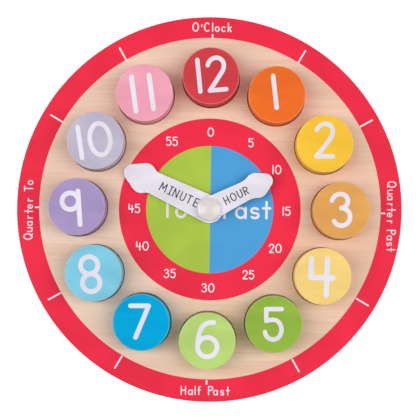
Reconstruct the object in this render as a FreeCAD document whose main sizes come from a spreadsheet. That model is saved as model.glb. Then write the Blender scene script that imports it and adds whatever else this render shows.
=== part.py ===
import FreeCAD, Part
import math
import os

import Sketcher

# A round wooden teaching clock: twelve loose number blocks stand in wells round the face, and two
# hands turn one above the other on a plastic rivet. It lies on its back, face up along +Z, with
# 12 o'clock towards +Y and 3 o'clock towards +X. The origin is the middle of its resting face.

# alias, value (mm, or degrees where the note says so), note
SIZES = (
    ("board_diameter", 290.0, "round board"),
    ("face_thickness", 6.0, "face board, which is also the depth of a well"),
    ("backing_thickness", 6.0, "backing board, the floor of the wells"),
    ("board_edge_round", 0.8, "rounding of the board's outer edges"),
    ("hour_count", 12, "number blocks round the face"),
    ("block_ring_radius", 98.0, "clock centre to block centre"),
    ("block_diameter", 42.3, "number block"),
    ("block_height", 21.0, "number block, well floor to top"),
    ("block_edge_round", 0.9, "rounding of a block's rims"),
    ("well_gap", 0.7, "all round between a block and its well"),
    ("sleeve_diameter", 8.0, "rivet sleeve that the hands turn on"),
    ("sleeve_bore", 5.0, "inside the rivet sleeve"),
    ("bore_clearance", 0.1, "all round between the sleeve and the boards and washers"),
    ("hand_clearance", 0.06, "all round between the sleeve and a hand's bore"),
    ("stem_clearance", 0.04, "all round between the cap's stem and the sleeve's bore"),
    ("flange_diameter", 16.0, "rivet's back flange"),
    ("flange_thickness", 1.5, "rivet's back flange"),
    ("flange_sink", 0.3, "flange set in from the resting face"),
    ("recess_gap", 1.0, "all round between the back washer and its recess"),
    ("back_washer_diameter", 18.0, "washer under the back flange"),
    ("washer_diameter", 16.0, "washers under the hands"),
    ("washer_thickness", 0.8, "all three washers"),
    ("cap_diameter", 16.8, "cream cap over the hands"),
    ("cap_wall", 1.3, "straight side of the cap"),
    ("cap_rise", 2.9, "underside of the cap to the top of its dome"),
    ("cap_play", 0.1, "hour hand to the underside of the cap"),
    ("stem_length", 14.0, "cap's stem inside the sleeve"),
    ("hand_thickness", 3.0, "both hands"),
    ("hand_edge_round", 0.8, "rounding of the hands' edges"),
    ("minute_turn", 294.6, "degrees clockwise from 12, 49 minutes"),
    ("minute_length", 70.3, "pivot to tip"),
    ("minute_hub_radius", 10.4, "round end at the pivot"),
    ("minute_head_length", 24.7, "neck to tip"),
    ("minute_neck_width", 17.2, "across the neck"),
    ("minute_head_width", 23.2, "across the head's shoulders"),
    ("minute_tip_round", 6.3, "radius of the tip"),
    ("hour_turn", 62.7, "degrees clockwise from 12, just past two o'clock"),
    ("hour_length", 52.4, "pivot to tip"),
    ("hour_hub_radius", 8.8, "round end at the pivot"),
    ("hour_head_length", 23.4, "neck to tip"),
    ("hour_neck_width", 14.7, "across the neck"),
    ("hour_head_width", 19.0, "across the head's shoulders"),
    ("hour_tip_round", 5.6, "radius of the tip"),
    ("shoulder_round", 8.0, "radius of both heads' shoulders"),
    ("point_angle", 30.4, "degrees between a head's side and its centre line"),
)

doc = FreeCAD.newDocument("teaching_clock")
sheet = doc.addObject("Spreadsheet::Sheet", "Sizes")
for row, (alias, number, note) in enumerate(SIZES, start=1):
    sheet.set(f"A{row}", alias)
    sheet.set(f"B{row}", str(number))
    sheet.set(f"C{row}", note)
    sheet.setAlias(f"B{row}", alias)
doc.recompute()

# Heights above the resting face, as expressions on the sheet.
FLANGE_BOTTOM = "Sizes.flange_sink"
FLANGE_TOP = f"{FLANGE_BOTTOM} + Sizes.flange_thickness"
RECESS_TOP = f"{FLANGE_TOP} + Sizes.washer_thickness"
FACE_BOTTOM = "Sizes.backing_thickness"
FACE_TOP = f"{FACE_BOTTOM} + Sizes.face_thickness"
MINUTE_BOTTOM = f"{FACE_TOP} + Sizes.washer_thickness"
MINUTE_TOP = f"{MINUTE_BOTTOM} + Sizes.hand_thickness"
HOUR_BOTTOM = f"{MINUTE_TOP} + Sizes.washer_thickness"
HOUR_TOP = f"{HOUR_BOTTOM} + Sizes.hand_thickness"
CAP_BOTTOM = f"{HOUR_TOP} + Sizes.cap_play"

# Radii that more than one piece keeps to, as expressions on the sheet.
BOARD_RADIUS = "Sizes.board_diameter / 2"
SLEEVE_RADIUS = "Sizes.sleeve_diameter / 2"
BOARD_BORE_RADIUS = f"{SLEEVE_RADIUS} + Sizes.bore_clearance"
HAND_BORE_RADIUS = f"{SLEEVE_RADIUS} + Sizes.hand_clearance"
STEM_RADIUS = "Sizes.sleeve_bore / 2 - Sizes.stem_clearance"
WELL_RADIUS = "Sizes.block_diameter / 2 + Sizes.well_gap"
RECESS_RADIUS = "Sizes.back_washer_diameter / 2 + Sizes.recess_gap"

UP = FreeCAD.Vector(0, 0, 1)
CENTRE = FreeCAD.Vector(0, 0, 0)
NEAR = 1e-4  # two lengths this close are the same


def size(alias):
    return float(sheet.get(alias))


def measure(expression):
    return float(sheet.evalExpression(expression))


def new_body(label):
    body = doc.addObject("PartDesign::Body", label)
    body.Label = label
    return body


def origin_feature(body, role):
    return next(item for item in body.Origin.OriginFeatures if item.Role == role)


def new_sketch(body, name, plane="XY_Plane"):
    sketch = body.newObject("Sketcher::SketchObject", f"{body.Name}_{name}")
    sketch.AttachmentSupport = [(origin_feature(body, plane), "")]
    sketch.MapMode = "FlatFace"
    return sketch


def bind(sketch, expression, kind, *ends):
    """Adds a dimension to the sketch, with its value driven from the sheet."""
    value = measure(expression)
    if kind == "Angle":
        value = math.radians(value)
    index = sketch.addConstraint(Sketcher.Constraint(kind, *ends, value))
    name = f"size_{index}"
    sketch.renameConstraint(index, name)
    sketch.setExpression(f"Constraints.{name}", expression)


def add_circle(sketch, radius, from_centre=None):
    """A circle on the sketch's origin, or up its vertical axis at the given distance."""
    distance = measure(from_centre) if from_centre else 0.0
    middle = FreeCAD.Vector(0, distance, 0)
    circle = sketch.addGeometry(Part.Circle(middle, UP, measure(radius)))
    if from_centre:
        sketch.addConstraint(Sketcher.Constraint("PointOnObject", circle, 3, -2))
        bind(sketch, from_centre, "DistanceY", -1, 1, circle, 3)
    else:
        sketch.addConstraint(Sketcher.Constraint("Coincident", circle, 3, -1, 1))
    bind(sketch, radius, "Radius", circle)


def pad(body, sketch, length):
    feature = body.newObject("PartDesign::Pad", f"{sketch.Name}_pad")
    feature.Profile = sketch
    feature.setExpression("Length", length)
    doc.recompute()


def cut(body, sketch, depth=None):
    """A pocket along +Z from the sketch, to the given depth or through the whole body."""
    before = body.Shape.Volume
    feature = body.newObject("PartDesign::Pocket", f"{sketch.Name}_cut")
    feature.Profile = sketch
    feature.Reversed = True
    if depth:
        feature.setExpression("Length", depth)
    else:
        feature.Type = "ThroughAll"
    doc.recompute()
    if body.Shape.Volume > before - NEAR:
        raise RuntimeError(f"{feature.Name} cut nothing")
    return feature


def round_edges(body, radius, chosen):
    """Rounds the edges of the body's last feature that the test picks."""
    base = body.Tip
    names = []
    for number, edge in enumerate(base.Shape.Edges, start=1):
        if chosen(edge):
            names.append(f"Edge{number}")
    feature = body.newObject("PartDesign::Fillet", f"{body.Name}_rounding")
    feature.Base = (base, names)
    feature.setExpression("Radius", radius)
    doc.recompute()


def is_level(edge, height):
    box = edge.BoundBox
    return abs(box.ZMin - height) < NEAR and abs(box.ZMax - height) < NEAR


def is_rim(edge, radius):
    """True for a level circle of the given radius round the body's own axis."""
    box = edge.BoundBox
    return box.ZLength < NEAR and abs(box.XMax - radius) < NEAR and abs(box.XMin + radius) < NEAR


def disc_body(label, radius, thickness, bore=None):
    body = new_body(label)
    sketch = new_sketch(body, "outline")
    add_circle(sketch, radius)
    if bore:
        add_circle(sketch, bore)
    pad(body, sketch, thickness)
    return body


def place(body, height, ring_angle=None):
    """Lifts the body to its height and, on the ring of blocks, carries it out to its hour."""
    body.setExpression(".Placement.Base.z", height)
    if ring_angle:
        body.setExpression(".Placement.Base.x", f"Sizes.block_ring_radius * sin({ring_angle})")
        body.setExpression(".Placement.Base.y", f"Sizes.block_ring_radius * cos({ring_angle})")


def make_face_board():
    body = disc_body("face_board", BOARD_RADIUS, "Sizes.face_thickness", BOARD_BORE_RADIUS)
    radius = measure(BOARD_RADIUS)
    top = size("face_thickness")
    round_edges(body, "Sizes.board_edge_round", lambda edge: is_rim(edge, radius) and is_level(edge, top))
    well = new_sketch(body, "well")
    add_circle(well, WELL_RADIUS, from_centre="Sizes.block_ring_radius")
    first_well = cut(body, well)
    wells = body.newObject("PartDesign::PolarPattern", "face_board_wells")
    wells.Originals = [first_well]
    wells.Axis = (origin_feature(body, "Z_Axis"), [""])
    wells.Angle = 360
    wells.setExpression("Occurrences", "Sizes.hour_count")
    body.Tip = wells
    place(body, FACE_BOTTOM)
    return body


def make_backing_board():
    body = disc_body("backing_board", BOARD_RADIUS, "Sizes.backing_thickness", BOARD_BORE_RADIUS)
    radius = measure(BOARD_RADIUS)
    round_edges(body, "Sizes.board_edge_round", lambda edge: is_rim(edge, radius) and is_level(edge, 0.0))
    recess = new_sketch(body, "recess")
    add_circle(recess, RECESS_RADIUS)
    cut(body, recess, RECESS_TOP)
    return body


def make_number_block(hour):
    body = disc_body(f"number_block_{hour}", "Sizes.block_diameter / 2", "Sizes.block_height")
    radius = size("block_diameter") / 2
    round_edges(body, "Sizes.block_edge_round", lambda edge: is_rim(edge, radius))
    place(body, FACE_BOTTOM, ring_angle=f"360deg * {hour} / Sizes.hour_count")
    return body


def make_sleeve():
    """The rivet's back half: a flange, and the sleeve that goes up through the boards and hands."""
    body = disc_body("pivot_sleeve", "Sizes.flange_diameter / 2", "Sizes.flange_thickness")
    tube = new_sketch(body, "tube")
    add_circle(tube, SLEEVE_RADIUS)
    pad(body, tube, f"{CAP_BOTTOM} - ({FLANGE_BOTTOM})")
    bore = new_sketch(body, "bore")
    add_circle(bore, "Sizes.sleeve_bore / 2")
    cut(body, bore)
    place(body, FLANGE_BOTTOM)
    return body


def make_cap():
    """The rivet's front half: a low dome over the hands and a stem pushed into the sleeve."""
    body = new_body("pivot_cap")
    radius = size("cap_diameter") / 2
    wall = size("cap_wall")
    rise = size("cap_rise")
    stem = measure(STEM_RADIUS)
    length = size("stem_length")
    dome = rise - wall
    dome_radius = (radius * radius + dome * dome) / (2 * dome)
    dome_middle = rise - dome_radius
    corners = [
        FreeCAD.Vector(0, rise, 0),
        FreeCAD.Vector(0, -length, 0),
        FreeCAD.Vector(stem, -length, 0),
        FreeCAD.Vector(stem, 0, 0),
        FreeCAD.Vector(radius, 0, 0),
        FreeCAD.Vector(radius, wall, 0),
    ]
    sketch = new_sketch(body, "profile", plane="XZ_Plane")
    for start, end in zip(corners, corners[1:]):
        sketch.addGeometry(Part.LineSegment(start, end))
    axis, stem_end, stem_side, underside, side = range(5)
    rim_angle = math.atan2(wall - dome_middle, radius)
    circle = Part.Circle(FreeCAD.Vector(0, dome_middle, 0), UP, dome_radius)
    arc = sketch.addGeometry(Part.ArcOfCircle(circle, rim_angle, math.pi / 2))
    for first in (axis, stem_end, stem_side, underside):
        sketch.addConstraint(Sketcher.Constraint("Coincident", first, 2, first + 1, 1))
    sketch.addConstraint(Sketcher.Constraint("Coincident", side, 2, arc, 1))
    sketch.addConstraint(Sketcher.Constraint("Coincident", arc, 2, axis, 1))
    sketch.addConstraint(Sketcher.Constraint("PointOnObject", arc, 3, -2))
    sketch.addConstraint(Sketcher.Constraint("PointOnObject", axis, 1, -2))
    sketch.addConstraint(Sketcher.Constraint("PointOnObject", axis, 2, -2))
    sketch.addConstraint(Sketcher.Constraint("PointOnObject", underside, 1, -1))
    sketch.addConstraint(Sketcher.Constraint("Horizontal", stem_end))
    sketch.addConstraint(Sketcher.Constraint("Vertical", stem_side))
    sketch.addConstraint(Sketcher.Constraint("Horizontal", underside))
    sketch.addConstraint(Sketcher.Constraint("Vertical", side))
    bind(sketch, STEM_RADIUS, "DistanceX", -1, 1, stem_side, 1)
    bind(sketch, "Sizes.cap_diameter / 2", "DistanceX", -1, 1, side, 1)
    bind(sketch, "Sizes.cap_wall", "DistanceY", side, 1, side, 2)
    bind(sketch, "Sizes.cap_rise", "DistanceY", -1, 1, axis, 1)
    bind(sketch, "Sizes.stem_length", "DistanceY", axis, 2, -1, 1)
    turned = body.newObject("PartDesign::Revolution", "pivot_cap_turned")
    turned.Profile = sketch
    turned.ReferenceAxis = (sketch, ["V_Axis"])
    turned.Angle = 360
    doc.recompute()
    place(body, CAP_BOTTOM)
    return body


def hand_points(hand):
    """The arc centres and joints on the right of a hand's outline, which points up +Y from its pivot."""
    hub = size(f"{hand}_hub_radius")
    tip_round = size(f"{hand}_tip_round")
    shoulder = size("shoulder_round")
    slope = math.radians(size("point_angle"))
    head = size(f"{hand}_head_width") / 2
    neck_at = size(f"{hand}_length") - size(f"{hand}_head_length")
    neck = FreeCAD.Vector(size(f"{hand}_neck_width") / 2, neck_at, 0)
    # the shank's side touches the hub's circle and ends at the neck
    shank_angle = math.atan2(neck.y, neck.x) - math.acos(hub / neck.Length)
    shank_normal = FreeCAD.Vector(math.cos(shank_angle), math.sin(shank_angle), 0)
    # the head's side touches the circles of the tip and the shoulder
    side_normal = FreeCAD.Vector(math.cos(slope), math.sin(slope), 0)
    tip_middle = FreeCAD.Vector(0, size(f"{hand}_length") - tip_round, 0)
    apex = tip_middle.y + tip_round / math.sin(slope)
    shoulder_x = head - shoulder
    shoulder_y = apex - (shoulder + shoulder_x * math.cos(slope)) / math.sin(slope)
    shoulder_middle = FreeCAD.Vector(shoulder_x, shoulder_y, 0)
    # the flare leaves the shank at the neck and meets the shoulder's circle from outside
    reach = neck - shoulder_middle
    inside = reach.dot(shank_normal) - shoulder
    flare = (shoulder * shoulder - reach.dot(reach)) / (2 * inside)
    flare_middle = neck + shank_normal * flare
    across = (flare_middle - shoulder_middle).normalize()
    return {
        "hub_joint": shank_normal * hub,
        "neck": neck,
        "flare_middle": flare_middle,
        "flare_joint": shoulder_middle + across * shoulder,
        "shoulder_middle": shoulder_middle,
        "shoulder_joint": shoulder_middle + side_normal * shoulder,
        "tip_joint": tip_middle + side_normal * tip_round,
        "tip_middle": tip_middle,
    }


def arc_between(middle, start, end):
    """The arc that turns anticlockwise about its middle from start to end."""
    first = math.atan2(start.y - middle.y, start.x - middle.x)
    last = math.atan2(end.y - middle.y, end.x - middle.x)
    circle = Part.Circle(middle, UP, (start - middle).Length)
    return Part.ArcOfCircle(circle, first, last)


def mirrored(point):
    return FreeCAD.Vector(-point.x, point.y, 0)


def hand_outline(body, hand):
    sketch = new_sketch(body, "outline")
    right = hand_points(hand)
    left = {name: mirrored(point) for name, point in right.items()}

    def line(side, start, end):
        return sketch.addGeometry(Part.LineSegment(side[start], side[end]))

    def arc(side, middle, start, end):
        return sketch.addGeometry(arc_between(side[middle], side[start], side[end]))

    hub = sketch.addGeometry(arc_between(CENTRE, left["hub_joint"], right["hub_joint"]))
    shank_r = line(right, "hub_joint", "neck")
    flare_r = arc(right, "flare_middle", "flare_joint", "neck")
    shoulder_r = arc(right, "shoulder_middle", "flare_joint", "shoulder_joint")
    side_r = line(right, "shoulder_joint", "tip_joint")
    tip = sketch.addGeometry(arc_between(right["tip_middle"], right["tip_joint"], left["tip_joint"]))
    side_l = line(left, "tip_joint", "shoulder_joint")
    shoulder_l = arc(left, "shoulder_middle", "shoulder_joint", "flare_joint")
    flare_l = arc(left, "flare_middle", "neck", "flare_joint")
    shank_l = line(left, "neck", "hub_joint")
    # every two neighbours run into each other without a corner
    joints = (
        (hub, 2, shank_r, 1), (shank_r, 2, flare_r, 2), (flare_r, 1, shoulder_r, 1),
        (shoulder_r, 2, side_r, 1), (side_r, 2, tip, 1), (tip, 2, side_l, 1),
        (side_l, 2, shoulder_l, 1), (shoulder_l, 2, flare_l, 2), (flare_l, 1, shank_l, 1),
        (shank_l, 2, hub, 1),
    )
    for joint in joints:
        sketch.addConstraint(Sketcher.Constraint("Tangent", *joint))
    sketch.addConstraint(Sketcher.Constraint("Coincident", hub, 3, -1, 1))
    sketch.addConstraint(Sketcher.Constraint("PointOnObject", tip, 3, -2))
    sketch.addConstraint(Sketcher.Constraint("Symmetric", shank_r, 2, shank_l, 1, -2))
    sketch.addConstraint(Sketcher.Constraint("Symmetric", shoulder_r, 3, shoulder_l, 3, -2))
    sketch.addConstraint(Sketcher.Constraint("Equal", shoulder_r, shoulder_l))
    bind(sketch, f"Sizes.{hand}_hub_radius", "Radius", hub)
    bind(sketch, f"Sizes.{hand}_tip_round", "Radius", tip)
    bind(sketch, "Sizes.shoulder_round", "Radius", shoulder_r)
    bind(sketch, f"Sizes.{hand}_length - Sizes.{hand}_tip_round", "DistanceY", -1, 1, tip, 3)
    bind(sketch, f"Sizes.{hand}_neck_width / 2", "DistanceX", -1, 1, shank_r, 2)
    bind(sketch, f"Sizes.{hand}_length - Sizes.{hand}_head_length", "DistanceY", -1, 1, shank_r, 2)
    bind(sketch, f"Sizes.{hand}_head_width / 2 - Sizes.shoulder_round", "DistanceX", -1, 1, shoulder_r, 3)
    bind(sketch, "90deg + Sizes.point_angle * 1deg", "Angle", side_r)
    return sketch


def make_hand(hand, height):
    body = new_body(f"{hand}_hand")
    outline = hand_outline(body, hand)
    pad(body, outline, "Sizes.hand_thickness")
    round_edges(body, "Sizes.hand_edge_round", lambda edge: edge.BoundBox.ZLength < NEAR)
    bore = new_sketch(body, "bore")
    add_circle(bore, HAND_BORE_RADIUS)
    cut(body, bore)
    place(body, height)
    # a clock's hands turn clockwise, which is negative about +Z
    body.Placement.Rotation = FreeCAD.Rotation(UP, -size(f"{hand}_turn"))
    return body


def make_washers():
    seats = (
        ("back_washer", "Sizes.back_washer_diameter / 2", FLANGE_TOP),
        ("board_washer", "Sizes.washer_diameter / 2", FACE_TOP),
        ("hand_washer", "Sizes.washer_diameter / 2", MINUTE_TOP),
    )
    washers = []
    for label, radius, height in seats:
        washer = disc_body(label, radius, "Sizes.washer_thickness", BOARD_BORE_RADIUS)
        place(washer, height)
        washers.append(washer)
    return washers


def check(parts):
    doc.recompute()
    for item in doc.Objects:
        if "Invalid" in item.State or "Error" in item.State:
            raise RuntimeError(f"{item.Name} failed: {item.State}")
    for part in parts:
        if part.Shape.isNull() or not part.Shape.isValid():
            raise RuntimeError(f"{part.Label} has no valid shape")


parts = [make_face_board(), make_backing_board(), make_sleeve(), make_cap()]
parts += make_washers()
parts += [make_hand("minute", MINUTE_BOTTOM), make_hand("hour", HOUR_BOTTOM)]
parts += [make_number_block(hour) for hour in range(1, int(size("hour_count")) + 1)]
check(parts)

os.makedirs("parts", exist_ok=True)
for part in parts:
    part.Shape.exportStep(f"parts/{part.Label}.step")
    box = part.Shape.BoundBox
    print(f"{part.Label}: {part.Shape.Volume / 1000:.2f} cm3, z {box.ZMin:.2f} to {box.ZMax:.2f}")
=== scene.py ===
import math

import bmesh
import bpy
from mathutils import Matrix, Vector


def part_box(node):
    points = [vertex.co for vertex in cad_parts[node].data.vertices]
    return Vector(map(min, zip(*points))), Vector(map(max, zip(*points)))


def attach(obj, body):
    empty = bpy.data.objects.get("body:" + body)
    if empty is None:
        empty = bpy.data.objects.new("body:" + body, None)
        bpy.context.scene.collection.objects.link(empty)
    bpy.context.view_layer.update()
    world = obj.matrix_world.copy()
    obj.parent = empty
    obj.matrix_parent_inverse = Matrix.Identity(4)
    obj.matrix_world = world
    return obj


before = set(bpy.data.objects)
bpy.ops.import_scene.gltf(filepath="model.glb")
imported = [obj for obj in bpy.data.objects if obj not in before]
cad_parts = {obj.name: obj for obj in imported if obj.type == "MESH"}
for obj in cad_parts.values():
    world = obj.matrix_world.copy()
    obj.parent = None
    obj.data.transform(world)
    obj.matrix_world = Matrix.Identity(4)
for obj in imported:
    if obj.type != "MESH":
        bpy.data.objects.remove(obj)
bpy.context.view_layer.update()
print("teaching clock: frame loaded,", len(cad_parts), "solids")

scene = bpy.context.scene
mm = 0.001
faceTop = 12.0 * mm     # the printed side of the face board


# camera

camera = {"x": 10.0, "y": -38.0, "height": 777.0, "lens": 87.08, "turn": 0.8,
          "aside": -0.0283, "rise": 0.1193}

camData = bpy.data.cameras.new("clockCamera")
camData.lens = camera["lens"]
camData.sensor_width = 36
camData.clip_start = 0.01
camData.shift_x = camera["aside"]    # the camera stands a little below and beside the middle of the board
camData.shift_y = camera["rise"]
cam = bpy.data.objects.new("clockCamera", camData)
cam.location = (camera["x"] * mm, camera["y"] * mm, camera["height"] * mm)
cam.rotation_euler = (0, 0, math.radians(camera["turn"]))    # straight down, a touch off square
scene.collection.objects.link(cam)
bpy.context.scene.camera = cam
scene.view_settings.view_transform = "Standard"


# shader sums

def fromScreen(colour, light=1.0):
    # a colour as a paint chart gives it, 0 to 255, made linear
    def linear(part):
        part = part / 255
        return part / 12.92 if part <= 0.04045 else ((part + 0.055) / 1.055) ** 2.4
    return tuple(min(1.0, linear(part) * light) for part in colour) + (1.0,)


class Wire:
    # one socket of a material; sums written with it become Math nodes
    def __init__(self, tree, socket=None):
        self.tree = tree
        self.socket = socket

    def node(self, kind, settings=None, values=None, out=0):
        # any node: its settings go first, then the values or the wires of its sockets
        made = self.tree.nodes.new(kind)
        for name, value in (settings or {}).items():
            setattr(made, name, value)
        for name, value in (values or {}).items():
            if isinstance(value, Wire):
                self.tree.links.new(value.socket, made.inputs[name])
            else:
                made.inputs[name].default_value = value
        return Wire(self.tree, made.outputs[out] if len(made.outputs) else None)

    def maths(self, operation, *terms):
        return self.node("ShaderNodeMath", {"operation": operation}, dict(enumerate(terms)))

    def __add__(self, other):
        return self.maths("ADD", self, other)

    def __radd__(self, other):
        return self.maths("ADD", other, self)

    def __sub__(self, other):
        return self.maths("SUBTRACT", self, other)

    def __rsub__(self, other):
        return self.maths("SUBTRACT", other, self)

    def __mul__(self, other):
        return self.maths("MULTIPLY", self, other)

    def __rmul__(self, other):
        return self.maths("MULTIPLY", other, self)

    def __abs__(self):
        return self.maths("ABSOLUTE", self)

    def between(self, low, high):
        # 0 below low, 1 above high, smooth on the way
        return self.node("ShaderNodeMapRange", {"interpolation_type": "SMOOTHSTEP"},
                         {"Value": self, "From Min": low, "From Max": high})

    def blend(self, first, second):
        # this wire is how much of the second colour shows
        return self.node("ShaderNodeMix", {"data_type": "RGBA", "clamp_factor": True},
                         {0: self, 6: first, 7: second}, out=2)


def newMaterial(name):
    mat = bpy.data.materials.new(name)
    mat.use_nodes = True
    mat.node_tree.nodes.clear()
    return mat, Wire(mat.node_tree)


def shown(wire, shader):
    wire.node("ShaderNodeOutputMaterial", values={"Surface": shader})


def speckle(wire, place, scale, detail=3.0, rough=0.55, stretch=(1, 1, 1), shift=(0, 0, 0)):
    # cloudy noise on the object's own coordinates, drawn out along one way where stretch is small
    put = wire.node("ShaderNodeMapping", values={"Vector": place, "Scale": stretch, "Location": shift})
    return wire.node("ShaderNodeTexNoise", values={"Vector": put, "Scale": scale, "Detail": detail,
                                                   "Roughness": rough})


def levelness(wire):
    # 1 on a flat top or underside, 0 on an upright wall
    facing = wire.node("ShaderNodeTexCoord", out="Normal")
    return abs(wire.node("ShaderNodeSeparateXYZ", values={0: facing}, out="Z"))


# finishes

def paleWood(name, look):
    mat, new = newMaterial(name)
    place = new.node("ShaderNodeTexCoord", out="Object")
    height = new.node("ShaderNodeSeparateXYZ", values={0: place}, out="Z")
    flat = levelness(new).between(0.55, 0.9)
    shift = look["shift"]
    sway = speckle(new, place, 14.0, 2.0, 0.5, (0.35, 1, 1), shift)
    bent = new.node("ShaderNodeVectorMath", {"operation": "MULTIPLY_ADD"},
                    {0: sway, 1: (0.0, 0.012, 0.0), 2: place})
    fine = speckle(new, bent, 620.0, 4.0, 0.6, (0.045, 1, 0.3), shift)
    vein = speckle(new, bent, 120.0, 3.0, 0.6, (0.04, 1, 0.3), shift)
    broad = speckle(new, bent, 26.0, 2.0, 0.5, (0.2, 1, 1), shift)
    pores = speckle(new, bent, 1500.0, 1.0, 0.5, (0.06, 1, 1), shift).between(0.66, 0.74)
    tone = fine * 0.30 + vein * 0.42 + broad * 0.36
    face = tone.between(0.36, 0.72).blend(fromScreen(look["light"]), fromScreen(look["dark"]))
    face = (pores * look["pores"]).blend(face, fromScreen(look["pore"]))
    # the plies show on the edges and in the wells
    turns = height * (math.tau / (look["ply"] * mm))
    ply = turns.maths("SINE", turns)
    endGrain = speckle(new, place, 900.0, 3.0, 0.6, (1, 1, 0.25), shift)
    layer = ply.between(-0.25, 0.25) * 0.75 + endGrain * 0.35
    edge = layer.blend(fromScreen(look["edgeLight"]), fromScreen(look["edgeDark"]))
    colour = flat.blend(edge, face)
    rough = 0.42 + fine * 0.14 + (1 - flat) * 0.2
    relief = fine * 0.5 + pores * -0.5 + endGrain * (1 - flat)
    bump = new.node("ShaderNodeBump", values={"Height": relief, "Strength": 0.16, "Distance": 0.0004})
    shown(new, new.node("ShaderNodeBsdfPrincipled",
                        values={"Base Color": colour, "Roughness": rough, "Normal": bump}))
    return mat


# the edge highlight share is how strongly the painted highlight shows on the rounded edges
satin = {"cloud": 55.0, "grain": 0.25, "edgeHighlightShare": 0.85, "rough": 0.44, "shine": 0.07}


def satinPaint(name, look):
    # sprayed paint over turned wood: even colour, a little cloud, fine orange peel
    look = {**satin, **look}
    mat, new = newMaterial(name)
    place = new.node("ShaderNodeTexCoord", out="Object")
    cloud = speckle(new, place, look["cloud"], 3.0, 0.5, (0.5, 1, 1))
    dust = speckle(new, place, 1100.0, 2.0, 0.6)
    grain = speckle(new, place, 380.0, 3.0, 0.6, (0.08, 1, 0.5))
    base = fromScreen(look["colour"])
    deep = fromScreen(look["colour"], 0.88)
    pale = fromScreen(look["colour"], 1.07)
    tone = cloud.between(0.3, 0.7).blend(deep, pale)
    tone = (grain.between(0.45, 0.75) * look["grain"]).blend(tone, deep)
    colour = (dust.between(0.35, 0.65) * 0.4).blend(tone, base)
    # painted highlight: the rounded edges are painted paler, standing in for the lamps' highlight on them
    level = levelness(new)
    highlightBand = level.between(0.15, 0.55) * (1 - level.between(0.93, 0.995))
    colour = (highlightBand * look["edgeHighlightShare"]).blend(colour, fromScreen(look["edgeHighlight"]))
    rough = look["rough"] + cloud * 0.08
    bump = new.node("ShaderNodeBump", values={"Height": dust * 0.4 + grain * 0.6, "Strength": 0.10,
                                              "Distance": 0.0003})
    shown(new, new.node("ShaderNodeBsdfPrincipled",
                        values={"Base Color": colour, "Roughness": rough, "Normal": bump,
                                "Specular IOR Level": look["shine"]}))
    return mat


screenInk = {"grain": 0.18, "rough": 0.44, "shine": 0.07}


def printedInk(name, look):
    # screen printed film: flat colour with the wood just telling through it
    look = {**screenInk, **look}
    mat, new = newMaterial(name)
    place = new.node("ShaderNodeTexCoord", out="Object")
    cloud = speckle(new, place, 30.0, 2.0, 0.5)
    grain = speckle(new, place, 620.0, 4.0, 0.6, (0.05, 1, 1))
    mesh = speckle(new, place, 2400.0, 1.0, 0.5)
    tone = cloud.between(0.3, 0.7).blend(fromScreen(look["colour"], 0.93), fromScreen(look["colour"], 1.05))
    colour = (grain.between(0.5, 0.8) * look["grain"]).blend(tone, fromScreen(look["colour"], 0.8))
    rough = look["rough"] + mesh * 0.1
    bump = new.node("ShaderNodeBump", values={"Height": grain * 0.7 + mesh * 0.3, "Strength": 0.08,
                                              "Distance": 0.0003})
    shown(new, new.node("ShaderNodeBsdfPrincipled",
                        values={"Base Color": colour, "Roughness": rough, "Normal": bump,
                                "Specular IOR Level": look["shine"]}))
    return mat


def glossyCream(name, look):
    mat, new = newMaterial(name)
    place = new.node("ShaderNodeTexCoord", out="Object")
    swirl = speckle(new, place, 160.0, 3.0, 0.5)
    fine = speckle(new, place, 1600.0, 2.0, 0.5)
    colour = swirl.between(0.3, 0.7).blend(fromScreen(look["colour"], 0.95), fromScreen(look["colour"], 1.04))
    bump = new.node("ShaderNodeBump", values={"Height": swirl * 0.7 + fine * 0.1, "Strength": 0.12,
                                              "Distance": 0.0004})
    shown(new, new.node("ShaderNodeBsdfPrincipled",
                        values={"Base Color": colour, "Roughness": 0.22 + fine * 0.1, "Normal": bump,
                                "Subsurface Weight": 0.08, "Subsurface Radius": (0.002, 0.0015, 0.001),
                                "Coat Weight": 0.4, "Coat Roughness": 0.15}))
    return mat


def milkyNylon(name, look):
    mat, new = newMaterial(name)
    place = new.node("ShaderNodeTexCoord", out="Object")
    cloud = speckle(new, place, 240.0, 3.0, 0.5)
    colour = cloud.between(0.3, 0.7).blend(fromScreen(look["colour"], 0.94), fromScreen(look["colour"], 1.04))
    shown(new, new.node("ShaderNodeBsdfPrincipled",
                        values={"Base Color": colour, "Roughness": 0.4 + cloud * 0.1}))
    return mat


# the face board's plies are real, but are painted paler than its top, which lightens the shade in the wells
# round the blocks
faceWoodLook = {"light": (237, 207, 185), "dark": (221, 181, 154), "pore": (198, 154, 128), "pores": 0.25,
                "edgeLight": (242, 216, 188), "edgeDark": (218, 180, 144), "ply": 4.0,
                "shift": (0, 0, 0)}
backWoodLook = {"light": (238, 212, 184), "dark": (216, 178, 146), "pore": (186, 142, 108), "pores": 0.5,
                "edgeLight": (230, 198, 162), "edgeDark": (190, 146, 106), "ply": 4.0,
                "shift": (0.31, 0.17, 0.05)}
# the hands' edge highlight colour is a painted highlight on their rounded edges
handLook = {"colour": (233, 228, 238), "edgeHighlight": (252, 250, 254), "rough": 0.42, "grain": 0.15}

faceWood = paleWood("faceWood", faceWoodLook)
backWood = paleWood("backWood", backWoodLook)
handPaint = satinPaint("handPaint", handLook)
capCream = glossyCream("capCream", {"colour": (218, 210, 205)})
washerNylon = milkyNylon("washerNylon", {"colour": (222, 219, 210)})
redInk = printedInk("redInk", {"colour": (239, 46, 72), "grain": 0.25})
greenInk = printedInk("greenInk", {"colour": (170, 197, 72)})
blueInk = printedInk("blueInk", {"colour": (76, 158, 214)})
whiteInk = printedInk("whiteInk", {"colour": (243, 238, 243), "grain": 0.08})
wordInk = printedInk("wordInk", {"colour": (237, 227, 233), "grain": 0.08})
numberInk = printedInk("numberInk", {"colour": (233, 229, 239), "grain": 0.08})
brownInk = printedInk("brownInk", {"colour": (62, 52, 54), "grain": 0.1})

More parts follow.
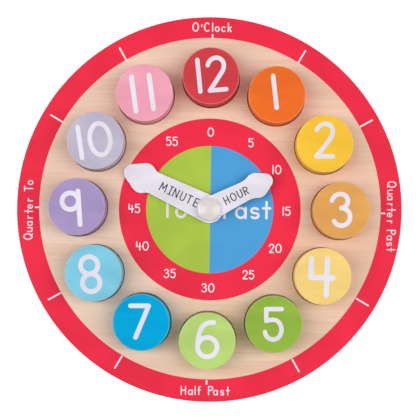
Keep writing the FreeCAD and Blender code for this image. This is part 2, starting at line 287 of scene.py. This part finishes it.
blockColours = {1: (244, 112, 38), 2: (253, 199, 57), 3: (231, 167, 88), 4: (252, 215, 127),
                5: (145, 182, 65), 6: (186, 216, 120), 7: (1, 167, 219), 8: (126, 202, 226),
                9: (169, 150, 198), 10: (196, 188, 209), 11: (245, 164, 185), 12: (212, 63, 71)}
blockSlots = {1: "orange_paint", 2: "yellow_paint", 3: "ochre_paint", 4: "pale_yellow_paint",
              5: "green_paint", 6: "light_green_paint", 7: "blue_paint", 8: "light_blue_paint",
              9: "purple_paint", 10: "lilac_paint", 11: "pink_paint", 12: "red_paint"}
blockEdgeHighlight = {"highlightTint": (248, 216, 194), "share": 0.42}    # painted highlight on the rounded edges, the paint colour mixed towards a pale wood tint
blockShine = {7: 0.03}                                 # the deep blue takes less sheen than the rest

blockPaints = {}
for hour, colour in blockColours.items():
    edgeHighlight = [part + (highlightTint - part) * blockEdgeHighlight["share"] for part, highlightTint in zip(colour, blockEdgeHighlight["highlightTint"])]
    blockPaints[hour] = satinPaint(blockSlots[hour].replace("_", ""),
                                   {"colour": colour, "edgeHighlight": edgeHighlight,
                                    "shine": blockShine.get(hour, satin["shine"])})

wears = {"face_board": faceWood, "backing_board": backWood, "minute_hand": handPaint, "hour_hand": handPaint,
         "pivot_cap": capCream, "pivot_sleeve": capCream, "back_washer": washerNylon,
         "board_washer": washerNylon, "hand_washer": washerNylon}
wears.update({f"number_block_{hour}": paint for hour, paint in blockPaints.items()})
for node, mat in wears.items():
    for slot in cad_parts[node].material_slots:
        slot.material = mat
print("teaching clock: finishes on", len(wears), "solids")


# working on a mesh

def holdOnly(*pieces):
    bpy.ops.object.select_all(action="DESELECT")
    for piece in pieces:
        piece.select_set(True)
    bpy.context.view_layer.objects.active = pieces[0]


def emptyPiece(name):
    piece = bpy.data.objects.new(name, bpy.data.meshes.new(name))
    scene.collection.objects.link(piece)
    holdOnly(piece)
    bpy.ops.object.mode_set(mode="EDIT")
    return piece


def choose(kind, test):
    # selects the verts, edges or faces in hand that pass the test, and nothing else
    bpy.context.tool_settings.mesh_select_mode = (kind == "verts", kind == "edges", kind == "faces")
    bpy.ops.mesh.select_all(action="DESELECT")
    mesh = bpy.context.object.data
    work = bmesh.from_edit_mesh(mesh)
    for part in getattr(work, kind):
        if not part.hide and test(part):
            part.select_set(True)
    bmesh.update_edit_mesh(mesh)


def dress(piece, mat, body):
    piece.data.materials.clear()
    piece.data.materials.append(mat)
    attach(piece, body)
    return piece


def copyOf(piece):
    twin = piece.copy()
    twin.data = piece.data.copy()
    scene.collection.objects.link(twin)
    return twin


def gather(name, pieces, mat, body):
    # joins the copies into one piece that sits at the origin with its place in its mesh
    holdOnly(*pieces)
    bpy.ops.object.join()
    bpy.ops.object.transform_apply(location=True, rotation=True, scale=True)
    piece = bpy.context.object
    piece.name = name
    piece.data.name = name
    return dress(piece, mat, body)


# printed rings and disc

film = 0.03               # how far the ink stands above the wood, mm
filmSink = film * 0.5     # how far it reaches into the wood
filmThick = film + filmSink
overFilm = film * 0.4     # where white ink starts above the wood, on coloured ink
rimSteps = 256
outerRing = {"outer": 144.2, "inner": 128.56, "centre": (0, 0), "shift": (0.44, 0.61),
             "edgeRound": 0.8, "lip": (22, 44, 65)}
middleRing = {"outer": 68.45, "inner": 47.92, "centre": (0.36, 0.01), "shift": (-0.04, -0.16),
              "edgeRound": 0, "lip": ()}
centreDisc = {"radius": 47.92, "centre": (0.32, -0.15), "split": 0.75, "lean": 0.1}


def thicken():
    # gives the flat shape in hand the ink's thickness
    bpy.ops.mesh.select_all(action="SELECT")
    bpy.ops.mesh.extrude_region_move(TRANSFORM_OT_translate={"value": (0, 0, filmThick * mm)})
    bpy.ops.mesh.select_all(action="SELECT")
    bpy.ops.mesh.normals_make_consistent(inside=False)


def inkRing(name, ring):
    piece = emptyPiece(name)
    bpy.context.tool_settings.mesh_select_mode = (False, True, False)
    outer, inner, shift, edgeRound = ring["outer"], ring["inner"], ring["shift"], ring["edgeRound"]
    place = Vector((ring["centre"][0] * mm, ring["centre"][1] * mm, faceTop - filmSink * mm))
    bpy.ops.mesh.primitive_circle_add(vertices=rimSteps, radius=outer * mm, fill_type="NOTHING", location=place)
    bpy.ops.mesh.extrude_edges_move(TRANSFORM_OT_translate={"value": (0, 0, 0)})
    bpy.ops.transform.resize(value=(inner / outer, inner / outer, 1), center_override=place)
    bpy.ops.transform.translate(value=(shift[0] * mm, shift[1] * mm, 0))
    choose("edges", lambda edge: all((vert.co - place).xy.length > (outer - 0.01) * mm for vert in edge.verts))
    reach, sink = outer, 0
    for turn in ring["lip"]:
        # the ink follows the board's rounded edge part of the way down
        wide = outer + edgeRound * math.sin(math.radians(turn))
        low = edgeRound * (1 - math.cos(math.radians(turn)))
        bpy.ops.mesh.extrude_edges_move(TRANSFORM_OT_translate={"value": (0, 0, (sink - low) * mm)})
        bpy.ops.transform.resize(value=(wide / reach, wide / reach, 1), center_override=place)
        reach, sink = wide, low
    thicken()
    bpy.ops.object.mode_set(mode="OBJECT")
    return dress(piece, redInk, "board")


def inkHalf(name, side, mat):
    # half of the centre disc, cut along the line between the colours
    piece = emptyPiece(name)
    place = (centreDisc["centre"][0] * mm, centreDisc["centre"][1] * mm, faceTop - filmSink * mm)
    bpy.ops.mesh.primitive_circle_add(vertices=rimSteps, radius=centreDisc["radius"] * mm, fill_type="NGON",
                                      location=place)
    lean = math.radians(centreDisc["lean"])
    bpy.ops.mesh.select_all(action="SELECT")
    bpy.ops.mesh.bisect(plane_co=(centreDisc["split"] * mm, 0, 0),
                        plane_no=(side * math.cos(lean), -side * math.sin(lean), 0), clear_inner=True)
    thicken()
    bpy.ops.object.mode_set(mode="OBJECT")
    return dress(piece, mat, "board")


inkRing("outer_ring_print", outerRing)
inkRing("middle_ring_print", middleRing)
inkHalf("green_half_print", -1, greenInk)
inkHalf("blue_half_print", 1, blueInk)
print("teaching clock: rings and disc printed")


# hour marks on the outer ring

hourMarks = {"inner": 128.7, "long": 139.75, "short": 131.95, "wide": 1.2, "round": 0.35, "turn": 0.2,
             "along": (0.6, 0.1), "beside": (0.2, -0.65)}


def hourMark(name, outer):
    piece = emptyPiece(name)
    inner = hourMarks["inner"]
    middle = (0, (inner + outer) / 2 * mm, 0)
    bpy.ops.mesh.primitive_plane_add(size=1, location=middle)
    bpy.ops.transform.resize(value=(hourMarks["wide"] * mm, (outer - inner) * mm, 1), center_override=middle)
    bpy.ops.transform.translate(value=(0, 0, faceTop + overFilm * mm))
    choose("verts", lambda vert: vert.co.y > (inner + 1) * mm)
    bpy.ops.mesh.bevel(offset=hourMarks["round"] * mm, segments=4, affect="VERTICES")
    thicken()
    bpy.ops.object.mode_set(mode="OBJECT")
    return piece


marks = {"long": hourMark("longMark", hourMarks["long"]), "short": hourMark("shortMark", hourMarks["short"])}
markCopies = []
for hour in range(12):
    mark = copyOf(marks["short" if hour % 3 == 0 else "long"])
    mark.rotation_euler = (0, 0, -math.radians(30 * hour + hourMarks["turn"]))
    # they start from the hole's edge, but fan out from their own centre
    out = Vector((math.sin(math.radians(30 * hour)), math.cos(math.radians(30 * hour))))
    beside = Vector((out.y, -out.x))
    place = out * out.dot(hourMarks["along"]) + beside * beside.dot(hourMarks["beside"])
    mark.location = (place.x * mm, place.y * mm, 0)
    markCopies.append(mark)
gather("hour_marks", markCopies, whiteInk, "board")
for mark in marks.values():
    bpy.data.objects.remove(mark)
print("teaching clock: hour marks printed")


# round-nibbed pen: faces in a round end, degrees to a step, and shares of the nib's width

pen = {"capSteps": 8, "turnStep": 12.0, "bowStep": 30,
       "hair": 0.01, "join": 0.06, "weld": 0.012, "sliver": 0.006}


def bow(x, y, wide, tall, start, end, lean=0.0):
    # part of an oval as pen points; angles run from the right, counter-clockwise when end is larger
    steps = max(2, math.ceil(abs(end - start) / pen["bowStep"]))
    way = 1 if end > start else -1
    tip = math.radians(lean)
    points = []
    for step in range(steps + 1):
        turn = math.radians(start + (end - start) * step / steps)
        px, py = wide * math.cos(turn), tall * math.sin(turn)
        points.append((x + px * math.cos(tip) - py * math.sin(tip),
                       y + px * math.sin(tip) + py * math.cos(tip)))
    first = math.radians(start)
    heading = math.degrees(math.atan2(way * tall * math.cos(first), -way * wide * math.sin(first))) + lean
    points[0] = points[0] + (heading,)
    return points


def penStroke(path, nib):
    # half a disc starts the stroke, its straight side is drawn along, and half a disc ends it;
    # the path's first point may also say the way the pen sets off, in degrees
    x, y = path[0][:2]
    heading = math.radians(path[0][2]) if len(path[0]) > 2 else math.atan2(path[1][1] - y, path[1][0] - x)
    hair = nib * pen["hair"]
    closed = math.dist(path[0][:2], path[-1][:2]) < hair

    def ahead(vert):
        return (vert.co.x - x) * math.cos(heading) + (vert.co.y - y) * math.sin(heading)

    def left(vert):
        return (vert.co.y - y) * math.cos(heading) - (vert.co.x - x) * math.sin(heading)

    bpy.ops.mesh.primitive_circle_add(vertices=2 * pen["capSteps"], radius=nib / 2, fill_type="TRIFAN",
                                      location=(x, y, 0), rotation=(0, 0, heading))
    choose("verts", lambda vert: (abs(ahead(vert)) if closed else ahead(vert)) > hair)
    bpy.ops.mesh.delete(type="VERT")
    choose("edges", lambda edge: all(abs(ahead(vert)) < hair for vert in edge.verts))
    for nextPoint in path[1:]:
        dx, dy = nextPoint[0] - x, nextPoint[1] - y
        turn = 2 * math.remainder(math.atan2(dy, dx) - heading, math.tau)
        if abs(turn) < 0.001:
            bpy.ops.mesh.extrude_edges_move(TRANSFORM_OT_translate={"value": (dx, dy, 0)})
        else:
            radius = math.hypot(dx, dy) / (2 * math.sin(turn / 2))
            centre = (x - radius * math.sin(heading), y + radius * math.cos(heading), 0)
            steps = max(2, math.ceil(math.degrees(abs(turn)) / pen["turnStep"]))
            bpy.ops.mesh.spin(steps=steps, angle=-turn, center=centre, axis=(0, 0, 1))    # it turns clockwise
        x, y, heading = nextPoint[0], nextPoint[1], heading + turn
    if not closed:
        # the left half of the last straight side is swept round the end
        choose("edges", lambda edge: all(abs(ahead(vert)) < hair and -hair < left(vert) < nib / 2 + hair
                                         for vert in edge.verts))
        bpy.ops.mesh.spin(steps=pen["capSteps"], angle=math.pi, center=(x, y, 0), axis=(0, 0, 1))
    bpy.ops.mesh.select_all(action="SELECT")
    bpy.ops.mesh.remove_doubles(threshold=nib * pen["join"])
    bpy.ops.mesh.select_all(action="SELECT")
    bpy.ops.mesh.extrude_region_move(TRANSFORM_OT_translate={"value": (0, 0, 1)})
    bpy.ops.mesh.select_all(action="SELECT")
    bpy.ops.mesh.normals_make_consistent(inside=False)
    bpy.ops.mesh.hide(unselected=False)      # keeps it clear of the next stroke


def written(name, strokes, nib):
    # all the strokes of one sign, made one closed shape a unit thick
    piece = emptyPiece(name)
    for path in strokes:
        penStroke(path, nib)
    bpy.ops.mesh.reveal(select=True)
    bpy.ops.mesh.select_all(action="SELECT")
    if len(strokes) > 1:
        bpy.ops.mesh.intersect_boolean(operation="UNION", use_self=True, solver="EXACT")
        # where two round ends meet, the slivers between them go
        bpy.ops.mesh.select_all(action="SELECT")
        bpy.ops.mesh.remove_doubles(threshold=nib * pen["weld"])
        bpy.ops.mesh.select_all(action="SELECT")
        bpy.ops.mesh.dissolve_degenerate(threshold=nib * pen["sliver"])
        bpy.ops.mesh.select_all(action="SELECT")
        bpy.ops.mesh.delete_loose()
    bpy.ops.object.mode_set(mode="OBJECT")
    return piece


# numbers on the blocks: pen, where on the top the number stands, and its strokes, mm

blockNumbers = {
    1: (3.4, (-0.51, 1.78), [[(-2.4, 11.9), (0.2, -11.6)]]),
    2: (3.3, (0.23, 1.09), [[(-6.2, 9.0, 71.4), (0.2, 13.6), (5.6, 8.3), (4.1, 3.3), (-6.6, -10.4)],
                            [(-6.6, -10.4), (5.6, -10.4)]]),
    3: (3.4, (-0.84, 0.65), [[(-6.5, 6.5, 74), (0.0, 11.4), (5.3, 6.7), (0.5, 1.0)],
                             [(0.5, 1.0, 0), (7.0, -5.2), (0.6, -12.0), (-4.9, -8.6)]]),
    4: (3.9, (-1, 0.9), [[(-7.5, 12.2), (-8.1, -1.7)], [(-8.1, -1.7), (8.1, -2.2)],
                         [(4.2, 11.9), (3.3, -14.7)]]),
    5: (3.3, (0.09, 0.04), [[(-5.7, 11.2), (5.7, 11.2)], [(-5.7, 11.2), (-5.7, 2.5)],
                            [(-5.7, 2.5, 17.5), (-0.5, 3.3), (3.8, 1.2), (5.6, -4.0), (3.8, -9.2),
                             (-0.5, -11.3), (-6.6, -5.7)]]),
    6: (3.5, (0.41, 1.54), [bow(-0.4, -5.9, 7.2, 7.2, 0, 360),
                            [(-7.6, -5.9, 90), (-6.3, 4.1), (-4.4, 8.4), (-1.2, 11.3), (4.4, 12.2)]]),
    7: (3.4, (0.16, 1.41), [[(-8.0, 10.9), (5.4, 10.9)], [(5.4, 10.9), (-4.3, -12.4)]]),
    8: (3.6, (-0.34, -0.76), [bow(-2.6, 6.6, 6.35, 6.35, 0, 360), bow(-1.1, -6.3, 6.5, 6.5, 0, 360)]),
    9: (3.6, (-0.01, -0.5), [bow(-4.5, 4.5, 6.1, 6.1, 0, 360), [(1.2, 12.0), (2.8, -12.7)]]),
    10: (3.4, (-0.16, 0.33), [[(-12.7, 9.4), (-9.4, -13.1)], bow(3.8, 0.7, 7.5, 11.7, 0, 360, 8)]),
    11: (3.6, (-0.72, 0.27), [[(-8.8, 11.2), (-5.4, -14.1)], [(4.2, 12.6), (7.5, -12.2)]]),
    12: (3.3, (0.14, 0.5), [[(-10.2, 11.2), (-7.9, -12.2)],
                            [(-2.5, 7.2, 81.5), (4.0, 12.8), (9.4, 7.5), (8.0, 2.4), (-0.9, -11.5)],
                            [(-0.9, -11.5), (11.2, -10.4)]]),
}

for hour, (nib, middle, strokes) in blockNumbers.items():
    low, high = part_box(f"number_block_{hour}")
    number = written(f"number_{hour}_print", strokes, nib)
    number.location = ((low.x + high.x) / 2 + middle[0] * mm, (low.y + high.y) / 2 + middle[1] * mm,
                       high.z - filmSink * mm)
    number.rotation_euler = (0, 0, math.radians(camera["turn"]))
    number.scale = (mm, mm, filmThick * mm)
    gather(f"number_{hour}_print", [number], numberInk, f"number_block_{hour}")
print("teaching clock: block numbers written")


# letters and small numbers, one unit tall

def roundLetters(wide, tall):
    # small letters for a given half width and height
    bend = tall * 0.36
    return {
        "o": [bow(0, tall / 2, wide, tall / 2, 0, 360)],
        "a": [bow(-0.02, tall / 2, wide, tall / 2, 0, 360), [(wide - 0.01, tall), (wide - 0.01, 0)]],
        "c": [bow(0.02, tall / 2, wide, tall / 2, 48, 312)],
        "e": [[(-wide, tall * 0.52), (wide, tall * 0.52)], bow(0, tall / 2, wide, tall / 2, 2, 315)],
        "s": [bow(0, tall * 0.75, wide * 0.75, tall * 0.25, 35, 270)
              + bow(0, tall * 0.25, wide * 0.8, tall * 0.25, 90, -145)[1:]],
        "t": [[(0, 0.97), (0, 0)], [(-wide * 0.75, tall), (wide * 0.8, tall)]],
        "u": [[(-wide, tall, -90), (-wide, bend), (0, 0), (wide, bend)], [(wide, tall), (wide, 0)]],
        "r": [[(-0.1, tall), (-0.1, 0)], [(-0.1, tall * 0.5, 88), (0.14, tall * 0.98)]],
    }


capitals = {
    "T": [[(-0.27, 1), (0.27, 1)], [(0, 1), (0, 0)]],
    "P": [[(-0.2, 1), (-0.2, 0)], [(-0.2, 1, 0), (0.03, 1), (0.03, 0.54), (-0.2, 0.54)]],
    "O": [bow(0, 0.5, 0.31, 0.5, 0, 360)],
    "C": [bow(0.03, 0.5, 0.3, 0.5, 52, 308)],
    "H": [[(-0.24, 1), (-0.24, 0)], [(0.24, 1), (0.24, 0)], [(-0.24, 0.5), (0.24, 0.5)]],
    "Q": [bow(0, 0.5, 0.31, 0.5, 0, 360), [(0.1, 0.22), (0.31, -0.04)]],
    "M": [[(-0.36, 0), (-0.29, 1)], [(-0.29, 1), (0, 0.3)], [(0, 0.3), (0.29, 1)], [(0.29, 1), (0.36, 0)]],
    "I": [[(0, 1), (0, 0)], [(-0.19, 1), (0.19, 1)], [(-0.19, 0), (0.19, 0)]],
    "N": [[(-0.26, 0), (-0.26, 1)], [(-0.26, 1), (0.26, 0)], [(0.26, 0), (0.26, 1)]],
    "U": [[(-0.25, 1, -90), (-0.25, 0.25), (0, 0), (0.25, 0.25), (0.25, 1)]],
    "E": [[(-0.2, 1), (-0.2, 0)], [(-0.2, 1), (0.2, 1)], [(-0.2, 0.5), (0.15, 0.5)], [(-0.2, 0), (0.2, 0)]],
    "R": [[(-0.2, 1), (-0.2, 0)], [(-0.2, 1, 0), (0.02, 1), (0.02, 0.48), (-0.2, 0.48)],
          [(0, 0.48), (0.22, 0)]],
}
smallNumbers = {
    "0": [bow(0, 0.5, 0.31, 0.5, 0, 360)],
    "1": [[(0, 1), (0, 0)]],
    "2": [[(-0.24, 0.74, 94), (0, 1), (0.23, 0.76), (0.15, 0.53), (-0.24, 0)], [(-0.24, 0), (0.24, 0)]],
    "3": [[(-0.22, 0.84, 72), (0, 1), (0.2, 0.78), (-0.02, 0.56)],
          [(-0.02, 0.56, 0), (0.26, 0.28), (0, 0), (-0.25, 0.16)]],
    "4": [[(-0.22, 1), (-0.25, 0.42)], [(-0.25, 0.42), (0.28, 0.42)], [(0.13, 0.82), (0.13, 0)]],
    "5": [[(-0.2, 1), (0.22, 1)], [(-0.2, 1), (-0.22, 0.6)],
          [(-0.22, 0.6, 30), (0, 0.66), (0.18, 0.56), (0.25, 0.33), (0.18, 0.1), (0, 0), (-0.25, 0.14)]],
}
ringLetters = {**capitals, **roundLetters(0.215, 0.55),
               "'": [[(0.01, 0.76), (-0.01, 0.56)]],
               "l": [[(0, 1), (0, 0)]],
               "k": [[(-0.15, 1), (-0.15, 0)], [(0.15, 0.55), (-0.15, 0.2)], [(-0.04, 0.33), (0.17, 0)]],
               "f": [[(0.16, 0.99, 170), (-0.03, 0.82), (-0.03, 0)], [(-0.15, 0.55), (0.14, 0.55)]]}
discLetters = {**capitals, **roundLetters(0.28, 0.6),
               "T": [[(-0.18, 1.04), (0.18, 1.04)], [(0, 1.04), (0, 0)]]}

writtenSigns = {}
onPrint = faceTop + overFilm * mm


def signCopy(letters, sign, nib):
    # each sign is written once for its pen and copied after that
    key = (id(letters), sign, nib)
    if key not in writtenSigns:
        writtenSigns[key] = written("sign", letters[sign], nib)
    return copyOf(writtenSigns[key])


def writeLine(name, signs, letters, line, mat, body):
    # line: the way it reads, cap height, width, pen, height above the board, baseline, and along it each letter
    turn = math.radians(line["turn"])
    up = line["base"]
    copies = []
    for sign, along in zip(signs, line["places"]):
        copy = signCopy(letters, sign, line["nib"])
        copy.location = ((along * math.cos(turn) - up * math.sin(turn)) * mm,
                         (along * math.sin(turn) + up * math.cos(turn)) * mm, line["z"])
        copy.rotation_euler = (0, 0, turn)
        copy.scale = (line["tall"] * line["wide"] * mm, line["tall"] * mm, filmThick * mm)
        copies.append(copy)
    return gather(name, copies, mat, body)


# the words on the outer ring: baseline, pen and the middle of each letter along the line, mm
ringLine = {"tall": 6.2, "wide": 1.07, "z": onPrint}
ringWords = {
    "oclock_print": {"signs": "O'Clock", "turn": 0, "base": 134.15, "nib": 0.145, "ink": whiteInk,
                     "places": (-12.2, -7.6, -3.7, 0.6, 4.1, 8.8, 13.4)},
    "half_past_print": {"signs": "HalfPast", "turn": 0, "base": -139.55, "nib": 0.122, "ink": whiteInk,
                        "places": (-17.6, -12.2, -8.8, -5.8, 2.7, 6.7, 11.6, 15.8)},
    "quarter_to_print": {"signs": "QuarterTo", "turn": 90, "base": 133.15, "nib": 0.13, "ink": wordInk,
                         "places": (-22.32, -17.02, -12.42, -7.72, -3.32, 0.38, 5.28, 13.88, 18.38)},
    "quarter_past_print": {"signs": "QuarterPast", "turn": -90, "base": 134.05, "nib": 0.13, "ink": wordInk,
                           "places": (-20.7, -15.0, -10.6, -5.5, -1.6, 2.3, 7.5, 15.2, 19.6, 24.2, 28.4)},
}
for name, word in ringWords.items():
    writeLine(name, word["signs"], ringLetters, {**ringLine, **word}, word["ink"], "board")

# the words on the centre disc
discLine = {"turn": 0, "tall": 12.4, "wide": 1, "nib": 0.148, "base": -6.0, "z": onPrint}
discWords = {"to_print": {"signs": "To", "places": (-31.5, -21.25)},
             "past_print": {"signs": "Past", "places": (14, 24, 34.3, 43.1)}}
for name, word in discWords.items():
    writeLine(name, word["signs"], discLetters, {**discLine, **word}, wordInk, "board")

# the minutes: the middle of each number, mm
minutePlaces = {0: (0.28, 58.25), 5: (30.65, 50.65), 10: (50.35, 30.68), 15: (58.1, -0.5),
                20: (50.12, -28.65), 25: (30.1, -48.77), 30: (-0.22, -59.05), 35: (-29.15, -48.62),
                40: (-50, -28.17), 45: (-56.52, 0.03), 50: (-50.5, 29.5), 55: (-28.82, 50.87)}
minuteLine = {"tall": 6.15, "wide": 6.5, "nib": 0.137, "gap": 0.65}
digitWidths = {"0": 5.0, "1": 1.5, "2": 4.1, "3": 4.4, "4": 4.2, "5": 4.2}
minuteCopies = []
for minute, (x, y) in minutePlaces.items():
    signs = str(minute)
    full = sum(digitWidths[sign] for sign in signs) + minuteLine["gap"] * (len(signs) - 1)
    edge = x - full / 2
    for sign in signs:
        copy = signCopy(smallNumbers, sign, minuteLine["nib"])
        copy.location = ((edge + digitWidths[sign] / 2) * mm, (y - minuteLine["tall"] / 2) * mm, onPrint)
        copy.scale = (minuteLine["wide"] * mm, minuteLine["tall"] * mm, filmThick * mm)
        minuteCopies.append(copy)
        edge += digitWidths[sign] + minuteLine["gap"]
gather("minute_numbers_print", minuteCopies, whiteInk, "board")

# the words on the hands, along each hand from the pivot; a word reads towards the tip or away from it
handWords = {
    "minute_word_print": {"signs": "MINUTE", "hand": "minute_hand", "points": 294.6, "toTip": False,
                          "tall": 6.2, "wide": 1.02, "nib": 0.125, "drop": -0.2,
                          "along": (38.0, 32.1, 27.7, 21.9, 16.6, 11.0)},
    "hour_word_print": {"signs": "HOUR", "hand": "hour_hand", "points": 62.7, "toTip": True,
                        "tall": 5.6, "wide": 1.08, "nib": 0.135, "drop": 0.0,
                        "along": (14.5, 20.1, 25.5, 30.3)},
}
for name, word in handWords.items():
    way = 1 if word["toTip"] else -1
    line = {**word, "turn": 90 - word["points"] + (0 if word["toTip"] else 180),
            "base": -word["tall"] / 2 - word["drop"],
            "z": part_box(word["hand"])[1].z - filmSink * mm,
            "places": [way * along for along in word["along"]]}
    writeLine(name, word["signs"], capitals, line, brownInk, word["hand"])

for sign in writtenSigns.values():
    bpy.data.objects.remove(sign)
print("teaching clock: words and minutes written")


# studio, metres

studio = {"floor": 3.0, "floorUnder": 0.05 * mm, "floorGlow": 0.5, "whiteFrom": 0.25, "whiteFull": 0.7,
          "sky": 0.22, "lampX": 0.8, "lampY": 1.5, "lampAway": 0.95, "lampUp": 1.16, "lampPower": 13.4}


def seenRay(new):
    # 1 where the camera, a mirror or clear stuff looks, 0 where light is gathered
    straight, mirror, clear = (new.node("ShaderNodeLightPath", out=f"Is {kind} Ray")
                               for kind in ("Camera", "Glossy", "Transmission"))
    return new.maths("MAXIMUM", new.maths("MAXIMUM", straight, mirror), clear)


floorMat, new = newMaterial("studioFloor")
place = new.node("ShaderNodeTexCoord", out="Object")
cloud = speckle(new, place, 90.0).between(0.3, 0.7)
paper = cloud.blend(fromScreen((238, 238, 238)), fromScreen((242, 242, 242)))
plain = new.node("ShaderNodeBsdfPrincipled", values={"Base Color": paper, "Roughness": 0.9})
# to the eye it turns white away from the clock, so that its far edge doesn't show
away = new.node("ShaderNodeVectorMath", {"operation": "LENGTH"}, {0: place}, out=1)
near = studio["floorGlow"]
glow = away.between(studio["whiteFrom"], studio["whiteFull"]).blend((near, near, near, 1), (1, 1, 1, 1))
lit = new.node("ShaderNodeBsdfPrincipled", values={"Base Color": paper, "Roughness": 0.9,
                                                   "Emission Color": glow, "Emission Strength": 1.0})
shown(new, new.node("ShaderNodeMixShader", values={0: seenRay(new), 1: plain, 2: lit}))

bpy.ops.object.select_all(action="DESELECT")
bpy.ops.mesh.primitive_plane_add(size=studio["floor"], location=(0, 0, -studio["floorUnder"]))
floor = bpy.context.object
floor.name = "studioFloor"
floor.data.materials.append(floorMat)

world = bpy.data.worlds.new("studioSky")
scene.world = world
world.use_nodes = True
world.node_tree.nodes.clear()
sky = Wire(world.node_tree)
white = sky.node("ShaderNodeBackground", values={"Color": (1, 1, 1, 1), "Strength": 1.0})
soft = sky.node("ShaderNodeBackground", values={"Color": (0.96, 0.97, 1, 1), "Strength": studio["sky"]})
both = sky.node("ShaderNodeMixShader", values={0: seenRay(sky), 1: soft, 2: white})
sky.node("ShaderNodeOutputWorld", values={"Surface": both})

for side in (1, -1):
    lampData = bpy.data.lights.new("softBox", "AREA")
    lampData.shape = "RECTANGLE"
    lampData.size = studio["lampX"]
    lampData.size_y = studio["lampY"]
    lampData.energy = studio["lampPower"]
    lamp = bpy.data.objects.new("softBox", lampData)
    lamp.location = (side * studio["lampAway"], 0, studio["lampUp"])
    lamp.rotation_euler = (-lamp.location).to_track_quat("-Z", "Y").to_euler()
    scene.collection.objects.link(lamp)
print("teaching clock: studio set")
